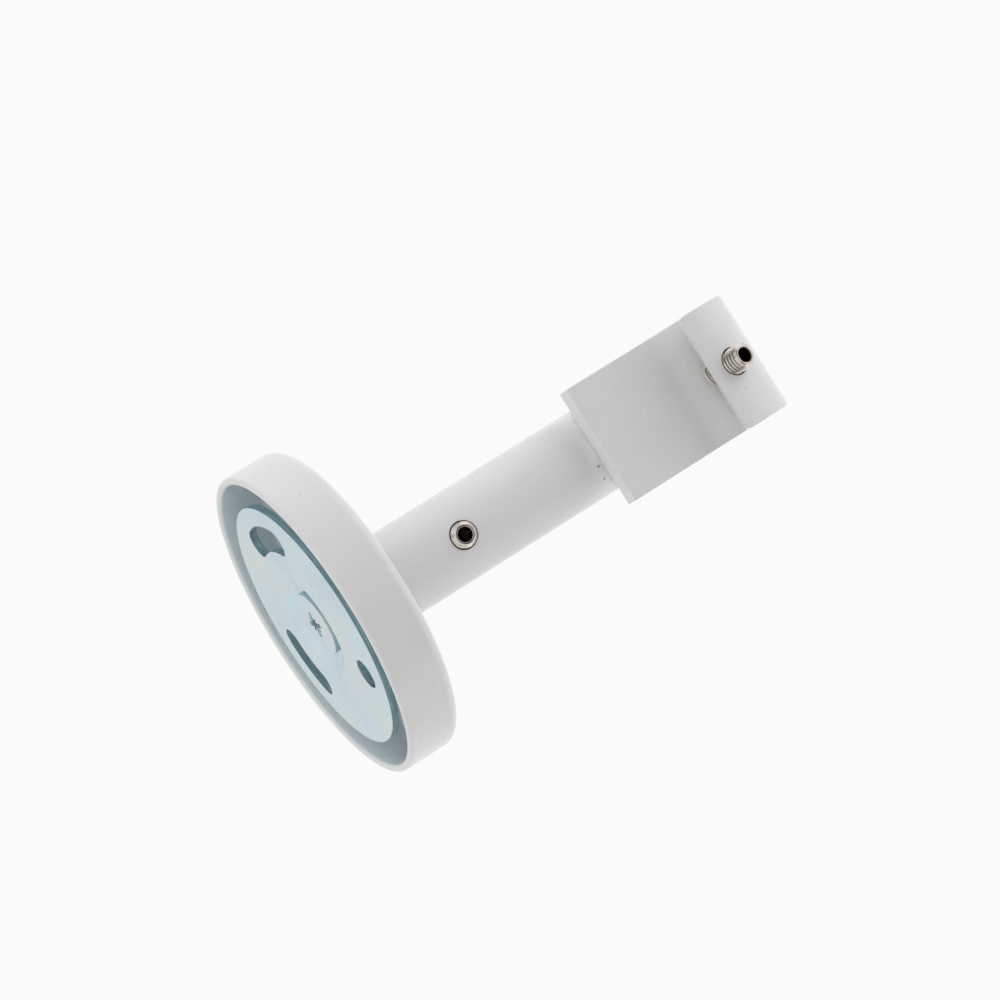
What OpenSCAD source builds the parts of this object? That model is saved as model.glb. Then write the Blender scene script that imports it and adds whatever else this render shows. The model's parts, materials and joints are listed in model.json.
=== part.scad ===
// Stand-off bracket for a flat rail: a slotted wall plate, a stub post screwed to it,
// a round arm that slides and turns on the post, a clamp head with a hooked jaw,
// two set screws and a cover cup that hides the wall plate.
// The wall is the plane Z = 0, the arm stands out along +Z, and the jaw faces -Y.

/* [Wall plate] */
// Gap between the wall plate's edge and the inside of the cover
plate_gap = 5.6; // [1:0.1:8]
// Thickness of the plate's sheet
plate_t = 2; // [1.5:0.25:3]
// How far the plate's wall face stands back from the cover's rim
plate_recess = 0.5; // [0.3:0.1:1]
// Distance from the plate's edge to the circle that the three wall holes sit on
hole_margin = 7.6; // [6:0.1:9]
// Diameter of the round wall hole
round_hole_d = 6.8; // [5:0.2:7.4]
// Width of the two arc slots
slot_w = 6.2; // [4:0.2:7]
// Angle that the short arc slot sweeps between the centres of its ends
short_slot_sweep = 31; // [20:1:45]
// Angle that the long arc slot sweeps between the centres of its ends
long_slot_sweep = 39; // [20:1:50]
// Angle of the hole pattern about the plate's centre
pattern_turn = 0; // [-30:0.5:30]
// Room between the centre screw's head and the wall of its dimple
dimple_room = 0.5; // [0.3:0.1:1]
// Depth of the dimple
dimple_depth = 1.8; // [1.4:0.1:2.2]
// Width of the dimple's sloping wall
dimple_slope = 4.6; // [3:0.1:4.8]

/* [Centre screw] */
// Diameter of the centre screw's shank
centre_screw_d = 8; // [6:1:8]
// Diameter of the centre screw's head
centre_head_d = 14.8; // [13:0.2:15]
// Height of the centre screw's head
centre_head_t = 1.25; // [1:0.05:1.6]
// Length of the shank below the head
centre_screw_len = 16; // [12:1:20]
// Span of the cross recess in the centre screw's head
cross_span = 6; // [4:0.5:8]
// Width of each bar of the cross recess
cross_w = 1.2; // [0.8:0.1:1.6]
// Depth of the cross recess
cross_depth = 1; // [0.6:0.1:1.2]

/* [Post and arm] */
// Outer diameter of the arm's tube
tube_d = 20; // [18:0.5:25]
// Wall of the arm's tube
tube_wall = 3; // [2.5:0.25:3.5]
// Height of the arm's free end above the wall
tube_top = 75.5; // [65:0.5:100]
// Room left in the arm between the post and the head's spigot
post_room = 11.5; // [10:0.5:20]
// Height of the arm's set screw above the wall
tube_screw_z = 36.5; // [34:0.5:40]
// Angle of the arm's set screw from the jaw's side
tube_screw_turn = 3.8; // [-30:0.2:30]
// Length of the arm's set screw
tube_screw_len = 4; // [4:1:6]

/* [Clamp head] */
// Width of the clamp head
head_w = 28; // [24:0.5:34]
// Thickness of the seat
seat_t = 5; // [4:0.25:6]
// How far the seat reaches back over the arm's side
seat_overlap = 4; // [2:0.5:8]
// Distance from the arm's free end to the hook's centre of curvature
hook_reach = 23.9; // [20:0.1:30]
// Outer radius of the hook
hook_r = 14.7; // [14:0.1:17]
// Thickness of the hook's lip
lip_t = 3.6; // [3:0.1:4.5]
// Angle that the lip runs back past the hook's centre
lip_lead = 4.6; // [2:0.2:8]
// Angle by which the lip's end face is undercut
lip_undercut = 18; // [0:1:25]
// Radius of the seat's corners
seat_corner_r = 0.8; // [0.4:0.1:3]
// How far the boss runs past the hook's centre
boss_past = 6; // [2:0.5:8]
// Width of the saddle that fills in between the seat and the arm
saddle_w = 19; // [14:0.5:20]
// How far the saddle reaches down the arm's sides
saddle_depth = 4; // [2:0.5:6]
// How far the saddle's end stands back from the seat's end
saddle_inset = 1; // [0.5:0.25:3]
// Length of the spigot that the head plugs into the arm
spigot_len = 14; // [10:1:20]
// Angle of the jaw's set screw from the seat's normal
jaw_screw_tilt = 19.6; // [15:0.2:30]
// Length of the jaw's set screw
jaw_screw_len = 12; // [10:1:14]
// Gap between the jaw screw's tip and the seat
jaw_tip_gap = 0.2; // [0.1:0.1:2]

/* [Set screws] */
// Thread diameter of both set screws
set_screw_d = 6; // [5:1:6]
// Width across the flats of the set screws' hexagon socket
set_socket_af = 3; // [2.5:0.5:3]
// Depth of the set screws' hexagon socket
set_socket_depth = 2.6; // [2:0.1:3]

/* [Cover cup] */
// Outer diameter of the cover cup
cover_d = 72.6; // [68:0.2:80]
// Height of the cover cup
cover_h = 13; // [11:0.5:16]
// Wall of the cover cup
cover_wall = 1.8; // [1:0.1:2.2]
// Radius of the cover cup's outer edge
cover_edge_r = 2.6; // [2:0.1:4]

/* [Hidden] */
$fn = 96;

run_gap = 0.05;          // radial clearance of a shaft that turns or slides in its hole
cover_gap = 0.25;        // radial clearance of the cover cup on the arm
rest_gap = 0.2;          // gap between the arm's foot and the wall plate
seat_gap = 0.15;         // gap between the seat's underside and the arm
edge_break = 0.4;        // chamfer on turned ends
over = 1;                // how far a cutting shape runs past what it cuts

plate_r = cover_d / 2 - cover_wall - plate_gap;
holes_r = plate_r - hole_margin;
tube_r = tube_d / 2;
bore_r = tube_r - tube_wall;
post_r = bore_r - run_gap;
plate_top = plate_recess + plate_t;
post_foot = plate_top + dimple_depth;
spigot_foot = tube_top - spigot_len;
post_len = spigot_foot - post_room - post_foot;
tube_foot = post_foot + rest_gap;
dimple_floor = plate_recess + dimple_depth;
dimple_floor_r = centre_head_d / 2 + dimple_room;
plate_hole_r = centre_screw_d / 2 + run_gap;
head_top = dimple_floor - centre_head_t;
seat_y = tube_r + seat_gap;
seat_face = seat_y + seat_t;
seat_start = tube_top - seat_overlap;
hook_z = tube_top + hook_reach;
hook_c = seat_y;         // the hook's outside meets the seat's underside square
hook_inner_r = hook_r - lip_t;
set_r = set_screw_d / 2;
jaw_tip_r = (seat_t + set_r * sin(jaw_screw_tilt) + jaw_tip_gap) / cos(jaw_screw_tilt);
boss_end = hook_z + boss_past;
cross_turn = 18;         // angle of the cross recess about the screw's axis
dimple_steps = 6;        // points down the dimple's soft wall
hole_cut = plate_t + 2 * over;
slot_steps = 10;         // points along each stretch of a slot's outline
round_hole_at = -47.5;   // the three wall holes stand about a third of a turn apart
short_slot_at = 73;
long_slot_at = 190;

// Points along an arc about a centre, from one angle to another, in equal steps
function arc_points(centre, r, from, to, steps) =
    [for (i = [0:steps]) let (a = from + (to - from) * i / steps) centre + r * [cos(a), sin(a)]];

// Points down the dimple's wall, (radius, height), as half a cosine wave, for one face of the sheet
function dimple_wall(face_z) =
    [for (i = [0:dimple_steps]) let (t = i / dimple_steps)
        [dimple_floor_r + dimple_slope * t, face_z + dimple_depth * (1 + cos(180 * t)) / 2]];

// Upright bar whose outline is an arc about the Z axis with round ends
module arc_bar(r, w, from, to, h) {
    linear_extrude(h)
        polygon(concat(
            arc_points([0, 0], r + w / 2, from, to, slot_steps),
            arc_points(r * [cos(to), sin(to)], w / 2, to + 15, to + 165, slot_steps),
            arc_points([0, 0], r - w / 2, to, from, slot_steps),
            arc_points(r * [cos(from), sin(from)], w / 2, from + 195, from + 345, slot_steps)
        ));
}

// Cutter for one arc slot, about the angle of its middle
module arc_slot(middle, sweep) {
    arc_bar(holes_r, slot_w, middle - sweep / 2, middle + sweep / 2, hole_cut);
}

// Cylinder along Z with both ends chamfered
module turned_bar(r, h, edge) {
    rotate_extrude()
        polygon([[0, 0], [r - edge, 0], [r, edge], [r, h - edge], [r - edge, h], [0, h]]);
}

// Socket set screw standing on its tip at the origin, socket up
module set_screw(len) {
    difference() {
        turned_bar(set_r, len, edge_break);
        translate([0, 0, len - set_socket_depth])
            cylinder(d = set_socket_af / cos(30), h = set_socket_depth + over, $fn = 6);
    }
}

// Puts its children on the arm's set screw axis, tip on the post
module at_arm_screw() {
    rotate([0, 0, tube_screw_turn])
        translate([0, -post_r, tube_screw_z]) rotate([90, 0, 0]) children();
}

// Puts its children on the jaw's set screw axis, at a distance from the hook's centre
module at_jaw_screw(dist) {
    translate([0, -hook_c, hook_z])
        rotate([90 - jaw_screw_tilt, 0, 0]) translate([0, 0, dist]) children();
}

// Round sheet plate with a pressed dimple, two arc slots and a round hole
module wall_plate() {
    color("gainsboro")
    difference() {
        rotate_extrude()
            polygon(concat(
                [[plate_hole_r, dimple_floor]],
                dimple_wall(plate_recess),
                [[plate_r, plate_recess], [plate_r, plate_top]],
                [for (i = [dimple_steps:-1:0]) dimple_wall(plate_top)[i]],
                [[plate_hole_r, post_foot]]
            ));
        rotate([0, 0, pattern_turn]) translate([0, 0, plate_recess - over]) {
            rotate([0, 0, round_hole_at]) translate([holes_r, 0, 0])
                cylinder(d = round_hole_d, h = hole_cut);
            arc_slot(short_slot_at, short_slot_sweep);
            arc_slot(long_slot_at, long_slot_sweep);
        }
    }
}

// Low-headed machine screw that holds the post to the plate
module centre_screw() {
    color("silver")
    difference() {
        union() {
            translate([0, 0, head_top]) cylinder(d = centre_head_d, h = centre_head_t);
            translate([0, 0, dimple_floor])
                cylinder(d = centre_screw_d, h = centre_screw_len);
        }
        for (a = [0, 90])
            rotate([0, 0, cross_turn + a]) translate([-cross_span / 2, -cross_w / 2, head_top - over])
                cube([cross_span, cross_w, over + cross_depth]);
    }
}

// Stub post with a tapped hole for the centre screw
module post() {
    color("darkgray")
    translate([0, 0, post_foot])
    difference() {
        turned_bar(post_r, post_len, edge_break);
        translate([0, 0, -over])
            cylinder(r = centre_screw_d / 2 + run_gap, h = centre_screw_len + over);
    }
}

// Arm: a round tube with a tapped hole for its set screw
module arm_tube() {
    color("white")
    difference() {
        translate([0, 0, tube_foot]) turned_bar(tube_r, tube_top - tube_foot, edge_break);
        translate([0, 0, tube_foot - over])
            cylinder(r = bore_r, h = tube_top - tube_foot + 2 * over);
        at_arm_screw() cylinder(r = set_r + run_gap, h = tube_wall + 2 * over);
    }
}

module arm_set_screw() {
    color("tan") at_arm_screw() translate([0, 0, run_gap]) set_screw(tube_screw_len);
}

// Side outline of the seat and its hook, across X, drawn in (Z, -Y)
module hook_outline() {
    difference() {
        union() {
            translate([seat_start, seat_y])
                square([hook_z + hook_inner_r / 2 - seat_start, seat_t]);
            intersection() {
                translate([hook_z, hook_c]) circle(r = hook_r);
                translate([hook_z - hook_r, seat_y]) square([2 * hook_r, hook_r]);
                translate([hook_z - hook_r * sin(lip_lead), hook_c + hook_r * cos(lip_lead)])
                    rotate(lip_undercut) translate([0, -2 * hook_r]) square([3 * hook_r, 3 * hook_r]);
            }
        }
        intersection() {
            translate([hook_z, hook_c]) circle(r = hook_inner_r);
            translate([hook_z - hook_r, seat_face]) square([2 * hook_r, hook_r]);
        }
    }
}

// Clamp head: seat with a hooked jaw, a boss under it and a spigot for the arm
module clamp_head() {
    color("white")
    difference() {
        union() {
            translate([-head_w / 2, 0, 0])
                rotate([180, 0, 0]) rotate([0, 90, 0]) linear_extrude(head_w) hook_outline();
            boss();
            saddle();
            translate([0, 0, spigot_foot])
                turned_bar(post_r, spigot_len + over, edge_break);
        }
        at_jaw_screw(jaw_tip_r - over) cylinder(r = set_r + run_gap, h = jaw_screw_len + 2 * over);
        for (s = [-1, 1])
            seat_corner(s);
    }
}

// Waste that leaves one corner of the seat with a radius
module seat_corner(s) {
    translate([s * (head_w / 2 - seat_corner_r), -seat_face - over, seat_start + seat_corner_r])
    rotate([-90, 0, 0])
    difference() {
        translate([s > 0 ? 0 : -2 * seat_corner_r, 0, 0])
            cube([2 * seat_corner_r, 2 * seat_corner_r, seat_t + 2 * over]);
        translate([0, 0, -over]) cylinder(r = seat_corner_r, h = seat_t + 4 * over);
    }
}

// Block under the seat that hugs the arm's end
module saddle() {
    foot = seat_start + saddle_inset;
    difference() {
        translate([-saddle_w / 2, -seat_y - over, foot])
            cube([saddle_w, saddle_depth + over, tube_top + over - foot]);
        translate([0, 0, foot - over])
            cylinder(r = tube_r + seat_gap, h = tube_top - foot + over);
    }
}

// D-shaped boss under the seat, sloped off at its far end, that stands on the arm's end
module boss() {
    boss_len = boss_end - tube_top;
    difference() {
        translate([0, 0, tube_top])
        union() {
            cylinder(r = tube_r, h = boss_len);
            translate([-tube_r, -seat_y - over, 0]) cube([tube_d, seat_y + over, boss_len]);
        }
        translate([-tube_d, tube_r, boss_end - tube_r])
            rotate([-45, 0, 0]) translate([0, -2 * tube_d, 0])
                cube([2 * tube_d, 4 * tube_d, 2 * tube_d]);
    }
}

module jaw_set_screw() {
    color("tan") at_jaw_screw(jaw_tip_r) set_screw(jaw_screw_len);
}

// Half section of the cup's wall, from the rim up to the hole for the arm
module cup_section() {
    outer = cover_d / 2;
    inner = outer - cover_wall;
    inner_edge = cover_edge_r - cover_wall;
    hole = tube_r + cover_gap;
    rim = cover_wall / 2;
    translate([outer - rim, rim]) circle(r = rim);
    translate([inner, rim]) square([cover_wall, cover_h - cover_edge_r - rim]);
    translate([hole, cover_h - cover_wall]) square([outer - cover_edge_r - hole, cover_wall]);
    intersection() {
        translate([outer - cover_edge_r, cover_h - cover_edge_r])
            square([cover_edge_r, cover_edge_r]);
        difference() {
            translate([outer - cover_edge_r, cover_h - cover_edge_r]) circle(r = cover_edge_r);
            translate([outer - cover_edge_r, cover_h - cover_edge_r]) circle(r = inner_edge);
        }
    }
}

module cover_cup() {
    color("white") rotate_extrude() cup_section();
}

wall_plate();
centre_screw();
post();
arm_tube();
arm_set_screw();
clamp_head();
jaw_set_screw();
cover_cup();
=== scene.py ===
import json
import math

import bmesh
import bpy
import numpy as np
from mathutils import Matrix, Vector


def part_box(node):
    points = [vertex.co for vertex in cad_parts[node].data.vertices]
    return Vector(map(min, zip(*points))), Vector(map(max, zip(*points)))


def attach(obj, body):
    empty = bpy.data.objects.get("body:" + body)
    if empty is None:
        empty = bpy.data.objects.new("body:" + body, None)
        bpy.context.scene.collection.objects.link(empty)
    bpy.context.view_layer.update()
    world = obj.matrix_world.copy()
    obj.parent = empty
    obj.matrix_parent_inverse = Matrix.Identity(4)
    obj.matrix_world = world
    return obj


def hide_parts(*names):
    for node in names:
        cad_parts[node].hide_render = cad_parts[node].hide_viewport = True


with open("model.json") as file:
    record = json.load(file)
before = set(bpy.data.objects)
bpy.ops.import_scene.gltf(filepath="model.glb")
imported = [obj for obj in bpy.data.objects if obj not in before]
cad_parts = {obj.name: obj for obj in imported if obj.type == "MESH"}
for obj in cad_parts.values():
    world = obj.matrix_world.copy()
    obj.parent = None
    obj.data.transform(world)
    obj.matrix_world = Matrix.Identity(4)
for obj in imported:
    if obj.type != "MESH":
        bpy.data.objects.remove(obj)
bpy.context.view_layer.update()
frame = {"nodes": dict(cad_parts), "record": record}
mm = 0.001
print("frame loaded:", ", ".join(sorted(frame["nodes"])))


def inScene(name, data):
    made = bpy.data.objects.new(name, data)
    bpy.context.scene.collection.objects.link(made)
    return made


# every new shape is a grid of points worked out as whole arrays
def meshFromGrid(name, grid, capEnds=False):
    # grid[i, j] is a point: i runs along the profile and j runs round it, closed
    rows, cols = grid.shape[:2]
    i, j = np.arange(rows - 1)[:, None] * cols, np.arange(cols)[None, :]
    after = (j + 1) % cols
    faces = np.stack([i + j, i + after, i + cols + after, i + cols + j], -1).reshape(-1, 4).tolist()
    if capEnds:
        faces.append(list(range(cols))[::-1])
        faces.append(list(range((rows - 1) * cols, rows * cols)))
    mesh = bpy.data.meshes.new(name)
    mesh.from_pydata(grid.reshape(-1, 3), [], faces)
    return inScene(name, mesh)


def tidyMesh(piece, weld=1e-7):
    # merges the points that meet at poles and seams, then turns every face outwards
    bm = bmesh.new()
    bm.from_mesh(piece.data)
    bmesh.ops.remove_doubles(bm, verts=bm.verts, dist=weld)
    bmesh.ops.dissolve_degenerate(bm, edges=bm.edges, dist=weld)
    bmesh.ops.recalc_face_normals(bm, faces=bm.faces)
    bm.to_mesh(piece.data)
    bm.free()
    piece.data.shade_smooth()
    return piece


def revolved(name, profile, turns=192):
    # each profile point (radius, height) goes round the Z axis: x = r cos t, y = r sin t
    profile = np.asarray(profile, float)
    t = np.linspace(0, 2 * np.pi, turns, endpoint=False)
    r, z = profile[:, :1], profile[:, 1:]
    return tidyMesh(meshFromGrid(name, np.stack([r * np.cos(t), r * np.sin(t), z + 0 * t], -1)))


def arc(centre, radius, start, stop, steps):
    # points centre + radius (cos a, sin a), a going evenly from start to stop in degrees
    a = np.radians(np.linspace(start, stop, steps + 1))
    return np.asarray(centre, float) + radius * np.stack([np.cos(a), np.sin(a)], -1)


def unitRows(vectors):
    # each row divided by its own length
    return vectors / np.linalg.norm(vectors, axis=1)[:, None]


def grown(outline, amount):
    # moves each point of a closed outline outwards along the mean normal of its two edges
    ahead, behind = np.roll(outline, -1, 0) - outline, outline - np.roll(outline, 1, 0)
    along = unitRows(unitRows(ahead) + unitRows(behind))
    x, y = outline.T
    area = np.sum(x * np.roll(y, -1) - y * np.roll(x, -1))
    normal = np.stack([along[:, 1], -along[:, 0]], -1) * np.sign(area)
    return outline + amount * normal


def prism(name, outline, levels, place):
    # a flat outline (p, q) stacked at levels of (height, growth); place gives x, y, z of (p, q, height)
    outline = np.asarray(outline, float)
    rings = []
    for height, growth in levels:
        ring = grown(outline, growth)
        rings.append(np.stack(place(ring[:, 0], ring[:, 1], 0 * ring[:, 0] + height), -1))
    return tidyMesh(meshFromGrid(name, np.stack(rings), capEnds=True))


def upright(p, q, height):
    # a place for prism: the outline lies flat and the height runs along the arm
    return p, q, height


def applyModifiers(piece):
    # the modifiers' result becomes the mesh itself
    shaped = piece.evaluated_get(bpy.context.evaluated_depsgraph_get())
    mesh = bpy.data.meshes.new_from_object(shaped)
    mesh.validate()
    piece.modifiers.clear()
    piece.data = mesh
    return piece


def rounded(piece, width, segments=4, angle=35):
    bevel = piece.modifiers.new("roundedEdges", "BEVEL")
    bevel.width, bevel.segments = width, segments
    bevel.limit_method, bevel.angle_limit = "ANGLE", math.radians(angle)
    return applyModifiers(piece)


def combined(piece, other, how):
    # how is UNION or DIFFERENCE, and the other piece is used up
    cut = piece.modifiers.new("combine", "BOOLEAN")
    cut.object, cut.operation, cut.solver = other, how, "EXACT"
    applyModifiers(piece)
    bpy.data.objects.remove(other)
    return piece


def marked(piece, name, chosen):
    # a face attribute that is 1 where chosen(centres, normals) says so, for a finish to read
    count = len(piece.data.polygons)
    centres, normals = np.empty(3 * count), np.empty(3 * count)
    piece.data.polygons.foreach_get("center", centres)
    piece.data.polygons.foreach_get("normal", normals)
    mask = piece.data.attributes.new(name, "FLOAT", "FACE")
    mask.data.foreach_set("value", chosen(centres.reshape(-1, 3), normals.reshape(-1, 3)).astype(float))
    return piece


def softShading(piece, angle=35):
    # smooth over gentle turns and crisp at real edges, with flat faces kept flat
    piece.data.shade_smooth()
    piece.data.set_sharp_from_angle(angle=math.radians(angle))
    weighted = piece.modifiers.new("weightedNormals", "WEIGHTED_NORMAL")
    weighted.mode, weighted.keep_sharp = "FACE_AREA", True
    return applyModifiers(piece)


def carried(piece, origin, axis):
    # moves the mesh so that its Z axis lies along axis, with its own origin at origin
    turned = Vector(axis).to_track_quat("Z", "Y").to_matrix().to_4x4()
    piece.data.transform(Matrix.Translation(origin) @ turned)
    return piece


class Signal:
    # a wrapped socket that adds its own Math nodes
    def __init__(self, tree, socket):
        self.tree, self.socket = tree, socket

    def combine(self, operation, first, second):
        node = self.tree.nodes.new("ShaderNodeMath")
        node.operation = operation
        for slot, value in zip(node.inputs, (first, second)):
            if isinstance(value, Signal):
                self.tree.links.new(value.socket, slot)
            else:
                slot.default_value = value
        return Signal(self.tree, node.outputs[0])

    def __add__(self, other):
        return self.combine("ADD", self, other)

    def __radd__(self, other):
        return self.combine("ADD", other, self)

    def __mul__(self, other):
        return self.combine("MULTIPLY", self, other)

    def __rmul__(self, other):
        return self.combine("MULTIPLY", other, self)

    def __rsub__(self, other):
        return self.combine("SUBTRACT", other, self)


class Finish:
    # one material being built up from nodes
    def __init__(self, name):
        self.material = bpy.data.materials.new(name)
        self.material.use_nodes = True
        self.tree = self.material.node_tree
        self.tree.nodes.clear()
        self.shader = self.node("ShaderNodeBsdfPrincipled")
        self.node("ShaderNodeOutputMaterial", {}, {"Surface": self.shader.outputs["BSDF"]})
        self.position = self.node("ShaderNodeTexCoord").outputs["Object"]

    def node(self, kind, settings=None, sockets=None):
        # a node of any kind: its settings first, then the values or links of its sockets
        made = self.tree.nodes.new(kind)
        for key, value in (settings or {}).items():
            if key == "stops":
                ramp = made.color_ramp
                while len(ramp.elements) < len(value):
                    ramp.elements.new(0.5)
                for stop, (place, colour) in zip(ramp.elements, value):
                    stop.position, stop.color = place, (*colour, 1)
            else:
                setattr(made, key, value)
        for key, value in (sockets or {}).items():
            self.feed(made.inputs[key], value)
        return made

    def feed(self, socket, value):
        if isinstance(value, Signal):
            value = value.socket
        if isinstance(value, bpy.types.NodeSocket):
            self.tree.links.new(value, socket)
        elif isinstance(value, tuple) and len(value) == 3 and len(socket.default_value) == 4:
            socket.default_value = (*value, 1)
        else:
            socket.default_value = value

    def noise(self, scale, detail=3.0, roughness=0.5, stretch=(1, 1, 1)):
        # fractal noise on object coordinates, stretched along an axis where the finish is brushed
        placed = self.node("ShaderNodeMapping", {}, {"Vector": self.position, "Scale": stretch})
        made = self.node("ShaderNodeTexNoise", {}, {
            "Vector": placed.outputs[0], "Scale": scale, "Detail": detail, "Roughness": roughness})
        return Signal(self.tree, made.outputs["Fac"])

    def ramp(self, signal, stops):
        made = self.node("ShaderNodeValToRGB", {"stops": stops}, {"Fac": signal})
        return Signal(self.tree, made.outputs["Color"])

    def mix(self, factor, first, second):
        made = self.node("ShaderNodeMix", {"data_type": "RGBA"}, {0: factor, 6: first, 7: second})
        return Signal(self.tree, made.outputs[2])

    def spread(self, signal, low, high, toLow, toHigh):
        made = self.node("ShaderNodeMapRange", {}, {
            "Value": signal, "From Min": low, "From Max": high, "To Min": toLow, "To Max": toHigh})
        return Signal(self.tree, made.outputs["Result"])

    def read(self, name):
        # the value of a mesh attribute
        made = self.node("ShaderNodeAttribute", {"attribute_name": name})
        return Signal(self.tree, made.outputs["Fac"])

    def near(self, point, radius, edge):
        # 1 within radius of a point, fading to 0 over edge
        away = self.node("ShaderNodeVectorMath", {"operation": "DISTANCE"},
                         {0: self.position, 1: point})
        return self.spread(away.outputs["Value"], radius, radius + edge, 1, 0)

    def bump(self, height, strength, distance):
        made = self.node("ShaderNodeBump", {}, {
            "Height": height, "Strength": strength, "Distance": distance})
        self.feed(self.shader.inputs["Normal"], made.outputs["Normal"])

    def set(self, **values):
        for key, value in values.items():
            self.feed(self.shader.inputs[key.replace("_", " ")], value)


# the blue-grey tone is painted shade for the cup's inner faces and the lip's end face; the dark speck
# tone is dirt, and painted shade in the tube's two pinhole dots
paintLook = {"colour": (0.83, 0.83, 0.825), "shade": (0.80, 0.803, 0.803), "dirtAndShade": (0.30, 0.29, 0.27),
             "inside": (0.76, 0.83, 0.86), "gloss": 0.22, "peel": 0.06}


def whitePaint(name, dirtAndShadeDots=(), inside=None):
    # powder coat: faint orange peel, slow clouding, and a few dark specks at chosen points: dirt, and
    # on the tube two dots of painted shade; the last argument names a face attribute whose faces get a
    # blue-grey painted shade
    paint = Finish(name)
    cloud, grain = paint.noise(60, 2), paint.noise(1100, 2)
    peel, blot = paint.noise(380, 2, 0.4), paint.noise(2600, 2)
    tone = paint.mix(paint.spread(cloud, 0.35, 0.65, 0, 1), paintLook["colour"], paintLook["shade"])
    # dark specks: dirt, and on the tube two dots of painted shade for pinholes
    for point, radius, strength in dirtAndShadeDots:
        ragged = paint.spread(blot, 0.35, 0.60, 0.2, 1)
        mask = paint.near(point, radius * 0.4, radius) * ragged * strength
        tone = paint.mix(mask, tone, paintLook["dirtAndShade"])
    # faces named by the last argument get the blue-grey painted shade
    if inside:
        tone = paint.mix(paint.read(inside), tone, paintLook["inside"])
    paint.set(Base_Color=tone, Roughness=paintLook["gloss"] + 0.08 * grain, Coat_Weight=0.3,
              Coat_Roughness=0.06)
    paint.bump(peel, paintLook["peel"], 0.0001)
    return paint.material


# the darkest tone stands for sheared metal plus painted shade on edge walls and in recesses
zincLook = {"blue": (0.66, 0.81, 0.90), "straw": (0.80, 0.87, 0.84), "rose": (0.76, 0.80, 0.90),
            "pale": (0.72, 0.86, 0.93), "sheared": (0.36, 0.52, 0.58), "burnished": (0.74, 0.83, 0.85),
            "gloss": 0.24}


def brightZinc(name, gloss):
    # bright zinc: slow washes of blue and straw, a fine rolled grain and a slightly uneven gloss; the
    # face attribute that the plate and the centre screw mark gets a darker colour with bright streaks,
    # sheared metal plus painted shade on edge walls and in the screw's recess
    zinc = Finish(name)
    wash, tint = zinc.noise(48, 3, 0.55), zinc.noise(85, 2)
    rolled, streak = zinc.noise(300, 4, 0.6, (1, 0.08, 1)), zinc.noise(260, 3, 0.6, (0.5, 0.5, 9))
    base = zinc.ramp(wash, [(0.34, zincLook["blue"]), (0.50, zincLook["pale"]),
                            (0.66, zincLook["straw"])])
    base = zinc.mix(zinc.spread(tint, 0.55, 0.75, 0, 0.5), base, zincLook["rose"])
    # the darker colour with bright streaks: sheared striations plus painted shade
    punched = zinc.mix(zinc.spread(streak, 0.5, 0.75, 0, 1), zincLook["sheared"], zincLook["burnished"])
    polish = zinc.spread(rolled, 0.3, 0.7, gloss - 0.03, gloss + 0.06)
    zinc.set(Base_Color=zinc.mix(zinc.read("sheared"), base, punched), Metallic=1.0,
             Roughness=polish + 0.25 * zinc.read("sheared"))
    return zinc.material


# the dark tone is oxide plus painted shade, for the socket, the cup point and the thread's roots
nickelLook = {"bright": (0.80, 0.74, 0.67), "dull": (0.40, 0.33, 0.27), "dark": (0.022, 0.017, 0.015),
              "gloss": 0.14}


def nickelSteel():
    # nickel plate with brown patches where it is worn; the point attribute hollow marks the near-black
    # colour in the socket, the cup point and the roots of the thread: oxide plus painted shade
    nickel = Finish("nickelSteel")
    patch, scuff = nickel.noise(900, 3, 0.6), nickel.noise(3000, 3, 0.6)
    plated = nickel.mix(nickel.spread(patch, 0.5, 0.72, 0, 1), nickelLook["bright"], nickelLook["dull"])
    nickel.set(Base_Color=nickel.mix(nickel.read("hollow"), plated, nickelLook["dark"]),
               Metallic=1.0, Roughness=nickelLook["gloss"] + 0.16 * scuff + 0.3 * nickel.read("hollow"))
    nickel.bump(scuff, 0.06, 0.00003)
    return nickel.material


steelLook = {"light": (0.56, 0.56, 0.57), "dark": (0.44, 0.44, 0.45)}


def turnedSteel():
    # bare steel with turning rings across the axis
    steel = Finish("turnedSteel")
    rings = steel.noise(400, 3, 0.6, (0.02, 0.02, 1))
    steel.set(Base_Color=steel.mix(rings, steelLook["light"], steelLook["dark"]), Metallic=1.0,
              Roughness=0.25 + 0.15 * rings)
    steel.bump(rings, 0.1, 0.00003)
    return steel.material


def dress(piece, material):
    piece.data.materials.clear()
    piece.data.materials.append(material)
    return piece


def finished(piece, material, body, slot, *replaced):
    dress(piece, material)
    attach(piece, body)
    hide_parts(*replaced)
    return piece


record = frame["record"]
joints = {joint["name"]: joint for joint in record["behaviour"]["joints"]}
mounts = {mount["name"]: mount for mount in record["mounts"]}
nickel = nickelSteel()
dress(frame["nodes"]["post"], turnedSteel())
print("finishes made")


cup = {"wall": 1.8 * mm, "edge": 2.6 * mm, "lip": 0.35 * mm, "clear": 0.25 * mm,
       "rimBand": 0.75 * mm, "turns": 288}


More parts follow.
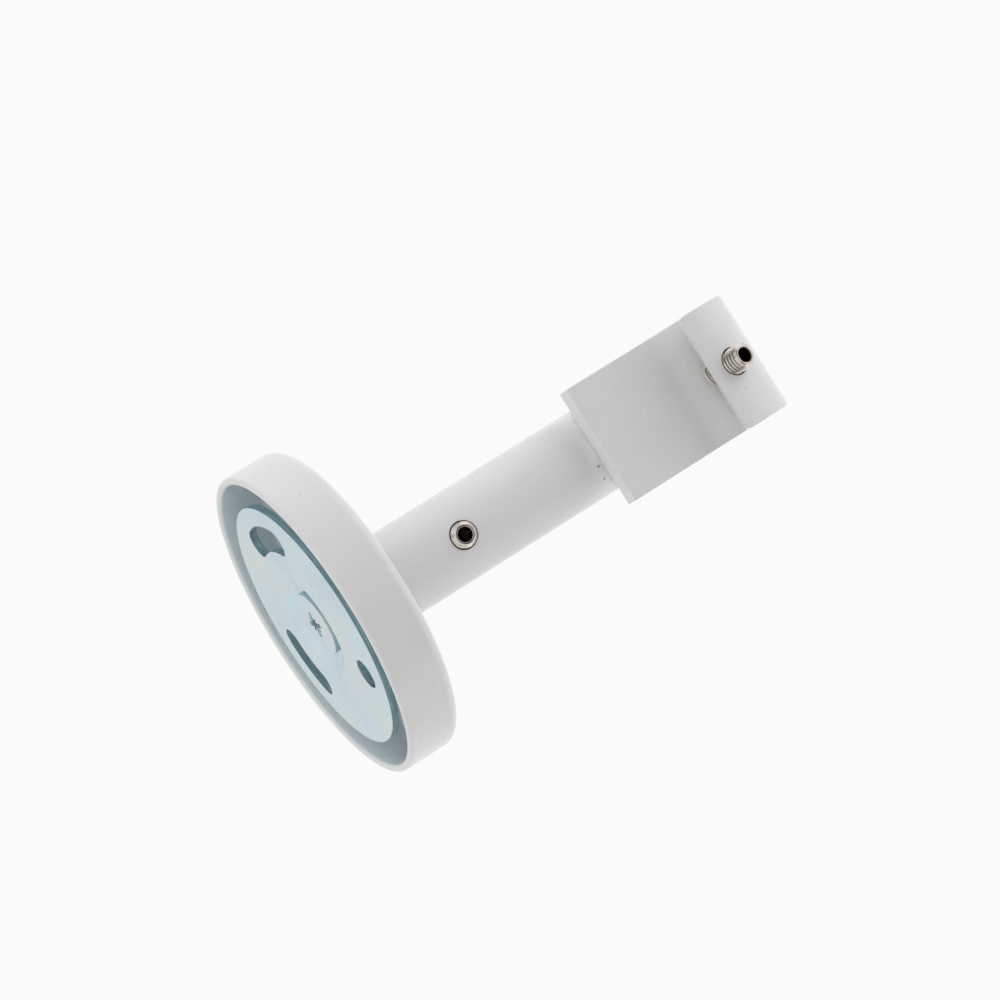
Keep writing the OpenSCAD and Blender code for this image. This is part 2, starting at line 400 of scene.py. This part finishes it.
def makeCup():
    # profile round the section: rim bead, outer wall, rounded edge, top, hole edge, then back
    # inside; its hole clears the arm by cup["clear"]
    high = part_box("cover_cup")[1]
    outer, top, wall, edge, lip = high[0], high[2], cup["wall"], cup["edge"], cup["lip"]
    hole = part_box("arm_tube")[1][0] + cup["clear"]
    bead = wall / 2
    section = np.concatenate([
        arc((outer - bead, bead), bead, 180, 360, 16),
        np.stack([np.full(11, outer), np.linspace(bead, top - edge, 13)[1:-1]], -1),
        arc((outer - edge, top - edge), edge, 0, 90, 14),
        np.stack([np.linspace(outer - edge, hole + lip, 22)[1:-1], np.full(20, top)], -1),
        arc((hole + lip, top - lip), lip, 90, 180, 5),
        arc((hole + lip, top - wall + lip), lip, 180, 270, 5),
        np.stack([np.linspace(hole + lip, outer - edge, 22)[1:-1], np.full(20, top - wall)], -1),
        arc((outer - edge, top - edge), edge - wall, 90, 0, 8),
        np.stack([np.full(11, outer - wall), np.linspace(top - edge, bead, 13)[1:-1]], -1),
        [[outer - wall, bead]]])
    piece = revolved("coverCup", section, cup["turns"])
    # the cup's inner faces get the painted shade, from just within the rim's bead to under the top
    return marked(piece, "inside", lambda centres, normals: (
        (np.hypot(centres[:, 0], centres[:, 1]) < outer - bead - cup["rimBand"])
        & (centres[:, 2] < top - bead)))


cupSpecks = [((-0.0243, -0.0270, 0.0060), 0.00022, 0.8), ((-0.0200, -0.0303, 0.0030), 0.00016, 0.6),
             ((0.0235, -0.0277, 0.0085), 0.00018, 0.7), ((0.0340, -0.0127, 0.0070), 0.00016, 0.6)]
finished(makeCup(), whitePaint("cupPaint", cupSpecks, "inside"), "cover", "white_paint", "cover_cup")
print("cover cup made")


tube = {"wall": 3.0 * mm, "edge": 0.45 * mm, "hole": 3.22 * mm, "turns": 288}
armScrewBox = [Vector(corner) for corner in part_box("arm_set_screw")]
armScrewAxis = Vector(joints["arm_screw_travel"]["axis"])
armScrewCentre = (armScrewBox[0] + armScrewBox[1]) / 2


def makeTube():
    # profile: bore, rounded foot, outside, rounded top; then the screw's hole is drilled through
    low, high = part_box("arm_tube")
    radius, foot, top, edge = high[0], low[2], high[2], tube["edge"]
    bore = radius - tube["wall"]
    rise = np.linspace(foot + edge, top - edge, 90)[1:-1, None]
    section = np.concatenate([
        arc((bore + edge, foot + edge), edge, 180, 270, 5),
        arc((radius - edge, foot + edge), edge, 270, 360, 5),
        np.concatenate([0 * rise + radius, rise], 1),
        arc((radius - edge, top - edge), edge, 0, 90, 5),
        arc((bore + edge, top - edge), edge, 90, 180, 5),
        [[bore, foot + edge]]])
    piece = revolved("armTube", section, tube["turns"])
    drill = revolved("tubeDrill", [(0, 0), (tube["hole"], 0), (tube["hole"], radius), (0, radius)], 96)
    carried(drill, armScrewCentre - armScrewAxis * radius / 2, armScrewAxis)
    return softShading(combined(piece, drill, "DIFFERENCE"))


# the first two are dirt specks; the last two are dots of painted shade for two pinholes where the clamp
# head meets the tube
tubeDirtAndPinholeShade = [((0.0046, -0.0090, 0.0400), 0.00020, 0.6), ((-0.0040, -0.0092, 0.0250), 0.00016, 0.5),
              ((0.00356, -0.00934, 0.0706), 0.00036, 1.6), ((0.0065, -0.0076, 0.0709), 0.00030, 1.4)]
finished(makeTube(), whitePaint("tubePaint", tubeDirtAndPinholeShade), "arm", "white_paint", "arm_tube")
print("arm tube made")


screw = {"armLength": 4 * mm, "jawLength": 12 * mm, "crest": 2.90 * mm, "depth": 0.58 * mm,
         "pitch": 1.0 * mm, "rowsPerTurn": 18, "turns": 96, "socket": 3.0 * mm,
         "mouth": 1.74 * mm, "rim": 2.12 * mm, "socketDepth": 2.6 * mm, "chamfer": 0.55 * mm,
         "cupRim": 1.75 * mm, "cupDepth": 0.9 * mm, "runOut": 0.35 * mm}


def makeSetScrew(name, length):
    # grid of rings from the cup point up the thread and down into the hexagon socket
    # thread: radius = crest - depth * wave(z / pitch - angle / turn), wave a rounded triangle,
    # faded out at both ends; socket: radius = half flats / cos(angle to the nearest flat's middle)
    t = np.linspace(0, 2 * np.pi, screw["turns"], endpoint=False)
    ones = np.ones_like(t)
    low, high = screw["chamfer"], length - screw["chamfer"]
    z = np.linspace(low, high, int((high - low) / screw["pitch"] * screw["rowsPerTurn"]) + 1)[:, None]
    phase = (z / screw["pitch"] - t / (2 * np.pi)) % 1
    wave = np.clip(1.18 - 2.36 * np.abs(phase - 0.5), 0, 1) ** 1.1
    fade = np.clip(np.minimum(z - low, high - z) / screw["runOut"], 0, 1)
    root = screw["depth"] * (1 - 0.55 * (1 - fade))
    thread = screw["crest"] - root * wave
    flats = screw["socket"] / 2 / np.cos((t + np.pi / 6) % (np.pi / 3) - np.pi / 6)
    mouthDrop, floorZ = 0.32 * mm, length - screw["socketDepth"]
    rings = [(0 * t, screw["cupDepth"]), (ones * 0.3 * screw["cupRim"], 0.72 * screw["cupDepth"]),
             (ones * (screw["cupRim"] - 0.10 * mm), 0.05 * mm), (ones * screw["cupRim"], 0),
             (ones * (screw["cupRim"] + 0.12 * mm), 0),
             (thread[0] - 0.14 * mm, low - 0.14 * mm)]
    rings += list(zip(thread, z[:, 0]))
    edge = 0.10 * mm
    rings += [(screw["rim"] + edge + 0 * t, length - 0.10 * mm),
              (screw["rim"] + 0.03 * mm + 0 * t, length - 0.02 * mm),
              (screw["rim"] - 0.06 * mm + 0 * t, length),
              (screw["mouth"] + 0.08 * mm + 0 * t, length),
              (screw["mouth"] + 0.02 * mm + 0 * t, length - 0.03 * mm),
              (screw["mouth"] - 0.05 * mm + 0 * t, length - 0.10 * mm),
              (np.minimum(flats, screw["mouth"]), length - mouthDrop),
              (flats, length - mouthDrop - 0.06 * mm), (flats, (length + floorZ) / 2),
              (flats, floorZ), (0.96 * flats, floorZ - 0.02 * mm),
              (0.5 * flats, floorZ - 0.30 * mm), (0 * t, floorZ - 0.55 * mm)]
    grid = np.stack([np.stack([r * np.cos(t), r * np.sin(t), height + 0 * t], -1)
                     for r, height in rings])
    piece = softShading(tidyMesh(meshFromGrid(name, grid)), 50)
    points = np.empty(3 * len(piece.data.vertices))
    piece.data.vertices.foreach_get("co", points)
    x, y, z = points.reshape(-1, 3).T
    around, deep = np.hypot(x, y), screw["crest"] - 0.40 * screw["depth"]
    socket = (z > length - screw["socketDepth"] - 0.7 * mm) & (around < screw["mouth"] - 0.02 * mm)
    tip = (z < screw["cupDepth"] + 0.1 * mm) & (around < screw["cupRim"] - 0.3 * mm)
    threaded = (z > low + 0.1 * mm) & (z < high - 0.1 * mm)
    root = np.clip((deep - around) / (0.3 * screw["depth"]), 0, 1) * threaded
    # near black in the socket and the cup point and darker in the thread's roots: oxide plus painted
    # shade
    mask = piece.data.attributes.new("hollow", "FLOAT", "POINT")
    dark = np.where(socket | tip, 1.0, 0.85 * root * (around > screw["mouth"]))
    mask.data.foreach_set("value", dark)
    return piece


def placeSetScrew(name, node, jointName, length, body):
    # centred on its CAD node and turned so that its socket faces along its joint's axis
    corners = [Vector(corner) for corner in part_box(node)]
    axis = Vector(joints[jointName]["axis"]).normalized()
    piece = makeSetScrew(name, length)
    carried(piece, (corners[0] + corners[1]) / 2 - axis * length / 2, axis)
    finished(piece, nickel, body, "nickel_screw", node)


placeSetScrew("armSetScrew", "arm_set_screw", "arm_screw_travel", screw["armLength"], "arm_screw")
placeSetScrew("jawSetScrew", "jaw_set_screw", "jaw_screw_travel", screw["jawLength"], "jaw_screw")
print("set screws made")


head = {"seat": 5.0 * mm, "gap": 0.15 * mm, "hookRadius": 14.7 * mm, "lip": 3.6 * mm, "lead": 4.6,
        "undercut": 14.5, "pastSeat": 23.9 * mm, "overlap": 4.0 * mm, "bossPast": 6.0 * mm,
        "edge": 0.22 * mm, "corner": 2.2 * mm, "cornerShift": 0.7 * mm, "hole": 3.25 * mm,
        "saddleWidth": 19 * mm, "saddleDepth": 4 * mm, "saddleInset": 1 * mm}


def hookOutline(armTop, armRadius):
    # seat and hook from the side, as (height, distance out from the arm's axis): a flat seat, the inner
    # arc back over it, the undercut end of the lip, and the outer arc back to the seat's underside
    inner = armRadius + head["gap"]
    face, centre = inner + head["seat"], np.array([armTop + head["pastSeat"], inner])
    outer, hollow = head["hookRadius"], head["hookRadius"] - head["lip"]
    lean = math.tan(math.radians(head["undercut"]))
    lead = math.radians(head["lead"])
    tip = centre + outer * np.array([-math.sin(lead), math.cos(lead)])
    away = outer - hollow + 1 * mm
    start = math.degrees(math.asin((face - inner) / hollow))
    outline = np.concatenate([
        [[armTop - head["overlap"], inner], [armTop - head["overlap"], face]],
        arc(centre, hollow, start, 108, 40), arc(centre, outer, 108, 0, 66)])
    waste = np.array([tip + 1 * mm * np.array([-lean, 1]), tip + away * np.array([lean, -1]),
                      tip + np.array([-8 * mm, -away]), tip + np.array([-8 * mm, 1 * mm])])
    return outline, waste, tip


def sideways(p, q, x):
    # a place for prism: an outline seen from the side, with the jaw towards -Y
    return x, -q, p


def makeHead():
    # the hook's side outline carried across the rail, less its lip's waste and round corners, plus
    # a D-shaped boss on the arm's line and a saddle block hollowed to the arm's radius, less the
    # jaw screw's hole
    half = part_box("clamp_head")[1][0]
    armRadius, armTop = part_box("arm_tube")[1][0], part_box("arm_tube")[1][2]
    outline, waste, tip = hookOutline(armTop, armRadius)
    piece = prism("clampHead", outline, [(-half, 0), (half, 0)], sideways)
    piece = rounded(piece, head["edge"], 5, 40)
    combined(piece, prism("lipEnd", waste, [(-2 * half, 0), (2 * half, 0)], sideways), "DIFFERENCE")
    reach, shift = head["corner"], head["cornerShift"]
    for side in (-1, 1):
        middle = np.array([side * (half - reach), tip[0] + reach - shift])
        bend = arc((0, 0), reach, -90, 0, 16) * np.array([side, 1]) + middle
        corner = np.concatenate([bend, [[side * (half + mm), middle[1]],
                                        [side * (half + mm), tip[0] - 2 * mm],
                                        [side * (half - reach), tip[0] - 2 * mm]]])
        cutter = prism("lipCorner", corner, [(tip[1] - head["lip"] - 2 * mm, 0), (tip[1] + mm, 0)],
                       lambda p, q, out: (p, -out, q))
        combined(piece, cutter, "DIFFERENCE")
    under, end = -armRadius - head["gap"] - 1 * mm, armTop + head["pastSeat"] + head["bossPast"]
    side = np.concatenate([[[under, armTop + 0.02 * mm], [under, end], [0, end]],
                           [[armRadius, end - armRadius], [armRadius, armTop + 0.02 * mm]]])
    shape = np.concatenate([arc((0, 0), armRadius, 0, 180, 48),
                            [[-armRadius, under], [armRadius, under]]])
    boss = prism("boss", shape, [(armTop + 0.02 * mm, 0), (end, 0)], upright)
    keep = prism("bossSide", side, [(-2 * armRadius, 0), (2 * armRadius, 0)],
                 lambda p, q, x: (x, p, q))
    boss = rounded(combined(boss, keep, "INTERSECT"), 0.5 * mm, 4, 40)
    combined(piece, boss, "UNION")
    wide, foot = head["saddleWidth"] / 2, armTop - head["overlap"] + head["saddleInset"]
    block = [[-wide, under], [wide, under], [wide, under + 1 * mm + head["saddleDepth"]],
             [-wide, under + 1 * mm + head["saddleDepth"]]]
    saddle = prism("saddle", block, [(foot, 0), (armTop + 1 * mm, 0)], upright)
    saddle = rounded(saddle, 0.4 * mm, 4, 40)
    clear = armRadius + 0.06 * mm
    around = revolved("around", [(0, foot - mm), (clear, foot - mm), (clear, armTop),
                                 (0, armTop)], 144)
    combined(piece, combined(saddle, around, "DIFFERENCE"), "UNION")
    drill = revolved("jawDrill", [(0, 8 * mm), (head["hole"], 8 * mm), (head["hole"], 20 * mm),
                                  (0, 20 * mm)], 96)
    carried(drill, Vector((0, -armRadius - head["gap"], armTop + head["pastSeat"])),
            Vector(joints["jaw_screw_travel"]["axis"]))
    combined(piece, drill, "DIFFERENCE")
    # the lip's downward end face gets the blue-grey painted shade, standing for the dark line under the
    # lip's edge
    lipEnd = tip[0] + 1.5 * mm
    return marked(softShading(piece), "bare", lambda centres, normals: (
        (normals[:, 2] < -0.85) & (centres[:, 2] > armTop) & (centres[:, 2] < lipEnd)
        & (centres[:, 1] < -tip[1] + head["lip"] + mm)))


headSpecks = [((0.0062, -0.0244, 0.1030), 0.00022, 0.7), ((0.0072, -0.0246, 0.1015), 0.00014, 0.6)]
finished(makeHead(), whitePaint("headPaint", headSpecks, "bare"), "arm", "white_paint", "clamp_head")
print("clamp head made")


plate = {"sheet": 2.0 * mm, "edge": 0.22 * mm, "dimple": 12.5 * mm, "slope": 4.6 * mm,
         "depth": 1.8 * mm, "hole": 4.1 * mm, "holesRadius": 21.3 * mm, "slotWidth": 6.2 * mm,
         "chamfer": 0.14 * mm, "turns": 288,
         "slots": [("wall_short_slot", 31), ("wall_long_slot", 39)]}


def arcBar(width, start, stop):
    # outline of a bar that follows the hole circle, with round ends
    radius, half = plate["holesRadius"], width / 2
    ends = arc((0, 0), radius, start, stop, 1)
    return np.concatenate([
        arc((0, 0), radius + half, start, stop, 24), arc(ends[1], half, stop + 12, stop + 168, 14),
        arc((0, 0), radius - half, stop, start, 24), arc(ends[0], half, start + 192, start + 348, 14)])


def punched(piece, outline, low, high):
    # cuts a flat outline through the sheet and breaks both its edges
    chamfer = plate["chamfer"]
    levels = [(low - 1 * mm, chamfer + 1 * mm), (low + chamfer, 0),
              (high - chamfer, 0), (high + 1 * mm, chamfer + 1 * mm)]
    cutter = prism("cutter", outline, levels, upright)
    return combined(piece, cutter, "DIFFERENCE")


def bearing(mount):
    # a mount's angle round the arm's axis, in degrees
    x, y, z = mount["pos_m"]
    return math.degrees(math.atan2(y, x))


def makePlate():
    # profile: flat sheet with rounded rim, and a dimple whose wall is half a cosine wave
    low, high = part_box("wall_plate")
    face, radius, sheet, edge = low[2], high[0], plate["sheet"], plate["edge"]
    wave = np.linspace(0, 1, 25)
    wallR = plate["dimple"] - plate["slope"] + plate["slope"] * wave
    wallZ = plate["depth"] * (1 + np.cos(np.pi * wave)) / 2
    flat = np.linspace(plate["dimple"], radius - edge, 24)[1:-1]
    section = np.concatenate([
        [[plate["hole"], face + plate["depth"]]], np.stack([wallR, face + wallZ], -1),
        np.stack([flat, 0 * flat + face], -1), arc((radius - edge, face + edge), edge, -90, 0, 6),
        arc((radius - edge, face + sheet - edge), edge, 0, 90, 6),
        np.stack([flat, 0 * flat + face + sheet], -1)[::-1],
        np.stack([wallR, face + sheet + wallZ], -1)[::-1],
        [[plate["hole"], face + sheet + plate["depth"]]],
        [[plate["hole"], face + plate["depth"]]]])
    piece = revolved("wallPlate", section, plate["turns"])
    back = face + sheet
    roundHole = mounts["wall_screw_hole"]
    ring = arc(roundHole["pos_m"][:2], roundHole["dims"]["r_mm"] * mm, 0, 352.5, 47)
    punched(piece, ring, face, back)
    for name, sweep in plate["slots"]:
        middle = bearing(mounts[name])
        slot = arcBar(plate["slotWidth"], middle - sweep / 2, middle + sweep / 2)
        punched(piece, slot, face, back)
    # the edge walls of the rim, the hole and the slots get the darker colour: sheared metal plus
    # painted shade
    return marked(softShading(piece, 30), "sheared", lambda centres, normals: (
        (np.abs(normals[:, 2]) < 0.35) & (np.hypot(centres[:, 0], centres[:, 1]) > plate["dimple"])))


finished(makePlate(), brightZinc("brightZinc", zincLook["gloss"]), "base", "zinc_plate", "wall_plate")
print("wall plate made")


bolt = {"head": 7.4 * mm, "thickness": 1.25 * mm, "shank": 3.95 * mm, "edge": 0.16 * mm,
        "crossSpan": 2.9 * mm, "crossWidth": 0.50 * mm, "crossDepth": 1.0 * mm,
        "tickSpan": 2.3 * mm, "tickWidth": 0.22 * mm, "tickDepth": 0.35 * mm,
        "dome": 0.10 * mm, "turn": 18, "gloss": 0.16}


def crossOutline(span, width):
    # a plus sign with its four inner corners, half its arm length and half its width given
    quarter = np.array([[span, -width], [span, width], [width, width]])
    turns = np.radians([0, 90, 180, 270])[:, None, None]
    x, y = quarter[:, 0], quarter[:, 1]
    return np.concatenate([np.cos(turns) * x[None, None] - np.sin(turns) * y[None, None],
                           np.sin(turns) * x[None, None] + np.cos(turns) * y[None, None]], 1
                          ).transpose(0, 2, 1).reshape(-1, 2)


def turnedOutline(outline, angle):
    # x cos a - y sin a, x sin a + y cos a
    a = math.radians(angle)
    return outline @ np.array([[math.cos(a), math.sin(a)], [-math.sin(a), math.cos(a)]])


def makeBolt():
    # profile: slightly domed head with a rounded edge, then the shank; a tapered cross and four ticks
    low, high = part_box("centre_screw")
    top, under, edge = low[2], low[2] + bolt["thickness"], bolt["edge"]
    dome = np.linspace(0, 1, 9)
    section = np.concatenate([
        np.stack([dome * (bolt["head"] - edge), top + bolt["dome"] * dome ** 2], -1),
        arc((bolt["head"] - edge, top + bolt["dome"] + edge), edge, -80, 0, 6),
        [[bolt["head"], under - 0.1 * mm], [bolt["head"] - 0.1 * mm, under], [bolt["shank"], under],
         [bolt["shank"], high[2] - 0.5 * mm], [bolt["shank"] - 0.5 * mm, high[2]], [0, high[2]]]])
    piece = revolved("centreScrew", section, 160)
    cross = turnedOutline(crossOutline(bolt["crossSpan"], bolt["crossWidth"]), bolt["turn"])
    levels = [(top - mm, 0.3 * mm), (top, 0.1 * mm), (top + bolt["crossDepth"], -0.28 * mm)]
    combined(piece, prism("cross", cross, levels, upright), "DIFFERENCE")
    ticks = turnedOutline(crossOutline(bolt["tickSpan"], bolt["tickWidth"]), bolt["turn"] + 45)
    levels = [(top - mm, 0), (top + bolt["tickDepth"], 0)]
    combined(piece, prism("ticks", ticks, levels, upright), "DIFFERENCE")
    # the cross's and ticks' walls and floors and the head's side get the darker colour: painted shade
    return marked(softShading(piece, 30), "sheared", lambda centres, normals: (
        ((np.abs(normals[:, 2]) < 0.6) | (centres[:, 2] > top + 0.25 * mm))
        & (centres[:, 2] < under + mm)))


finished(makeBolt(), brightZinc("screwZinc", bolt["gloss"]), "base", "zinc_screw", "centre_screw")
print("centre screw made")


studio = {"roll": 0.5, "tilt": 18.0, "turn": 32.03, "distance": 0.778, "lens": 129.6,
          "aimHeight": 0.05069, "aimSide": -0.00164, "strength": 1.03,
          "floorColour": (0.86, 0.86, 0.85), "floorDrop": 0.6, "floorHalf": 30.0}


def studioAxes():
    # unit vectors of the view: towards the camera, along the arm as seen from it, and across it
    roll, tilt = math.radians(studio["roll"]), math.radians(studio["tilt"])
    near = Vector((math.sin(roll), -math.cos(roll), 0))
    across = Vector((math.cos(roll), math.sin(roll), 0))
    up = Vector((0, 0, 1))
    towards = math.cos(tilt) * near - math.sin(tilt) * up
    along = math.cos(tilt) * up + math.sin(tilt) * near
    return towards, along, across


def makeCamera():
    towards, along, across = studioAxes()
    turn = math.radians(studio["turn"])
    right = math.cos(turn) * along + math.sin(turn) * across
    top = math.sin(turn) * along - math.cos(turn) * across
    aim = Vector((0, 0, studio["aimHeight"])) + studio["aimSide"] * across
    data = bpy.data.cameras.new("studioCamera")
    data.lens, data.sensor_width = studio["lens"], 36
    data.clip_start, data.clip_end = 0.01, 20
    camera = inScene("studioCamera", data)
    turned = Matrix((right, top, towards)).transposed().to_4x4()
    camera.matrix_world = Matrix.Translation(aim + studio["distance"] * towards) @ turned
    bpy.context.scene.camera = camera


roomStops = [(0.00, 0.93), (0.40, 0.93), (0.52, 0.95), (0.62, 0.72), (0.75, 0.26),
             (0.88, 0.07), (1.00, 0.04)]


def makeWorld():
    # a white room all round that darkens towards the side that the jaw faces
    world = bpy.data.worlds.new("softRoom")
    bpy.context.scene.world = world
    world.use_nodes = True
    tree = world.node_tree
    tree.nodes.clear()
    where = tree.nodes.new("ShaderNodeTexCoord")
    facing = tree.nodes.new("ShaderNodeVectorMath")
    facing.operation = "DOT_PRODUCT"
    facing.inputs[1].default_value = studioAxes()[0]
    tree.links.new(where.outputs["Generated"], facing.inputs[0])
    shift = tree.nodes.new("ShaderNodeMapRange")
    shift.inputs["From Min"].default_value = -1
    tree.links.new(facing.outputs["Value"], shift.inputs["Value"])
    ramp = tree.nodes.new("ShaderNodeValToRGB")
    ramp.color_ramp.interpolation = "EASE"
    while len(ramp.color_ramp.elements) < len(roomStops):
        ramp.color_ramp.elements.new(0.5)
    for stop, (place, level) in zip(ramp.color_ramp.elements, roomStops):
        stop.position, stop.color = place, (level, level, level, 1)
    tree.links.new(shift.outputs["Result"], ramp.inputs["Fac"])
    glow = tree.nodes.new("ShaderNodeBackground")
    glow.inputs["Strength"].default_value = studio["strength"]
    tree.links.new(ramp.outputs["Color"], glow.inputs["Color"])
    tree.links.new(glow.outputs[0], tree.nodes.new("ShaderNodeOutputWorld").inputs[0])


def makeFloor():
    # one square, far enough below the wall plate that no shadow shows on it
    half, drop = studio["floorHalf"], -studio["floorDrop"]
    mesh = bpy.data.meshes.new("floor")
    corners = [(-half, -half, drop), (half, -half, drop), (half, half, drop), (-half, half, drop)]
    mesh.from_pydata(corners, [], [(0, 1, 2, 3)])
    floor = inScene("floor", mesh)
    look = Finish("paleFloor")
    look.set(Base_Color=studio["floorColour"], Roughness=0.9)
    dress(floor, look.material)


def softLamp(name, direction, away, size, power):
    # a square area lamp that faces the middle of the arm from a direction
    aim = Vector((0, 0, studio["aimHeight"]))
    data = bpy.data.lights.new(name, "AREA")
    data.shape, data.size, data.energy = "SQUARE", size, power
    lamp = inScene(name, data)
    lamp.visible_glossy = False
    direction = Vector(direction).normalized()
    lamp.matrix_world = (Matrix.Translation(aim + away * direction)
                         @ direction.to_track_quat("Z", "Y").to_matrix().to_4x4())


makeCamera()
makeWorld()
makeFloor()
softLamp("sideLamp", (-0.8, -0.45, -0.35), 1.2, 0.9, 1.5)
softLamp("endLamp", (-0.3, -0.62, 0.75), 1.3, 0.9, 4.2)
bpy.context.scene.view_settings.view_transform = "Standard"
print("studio set")
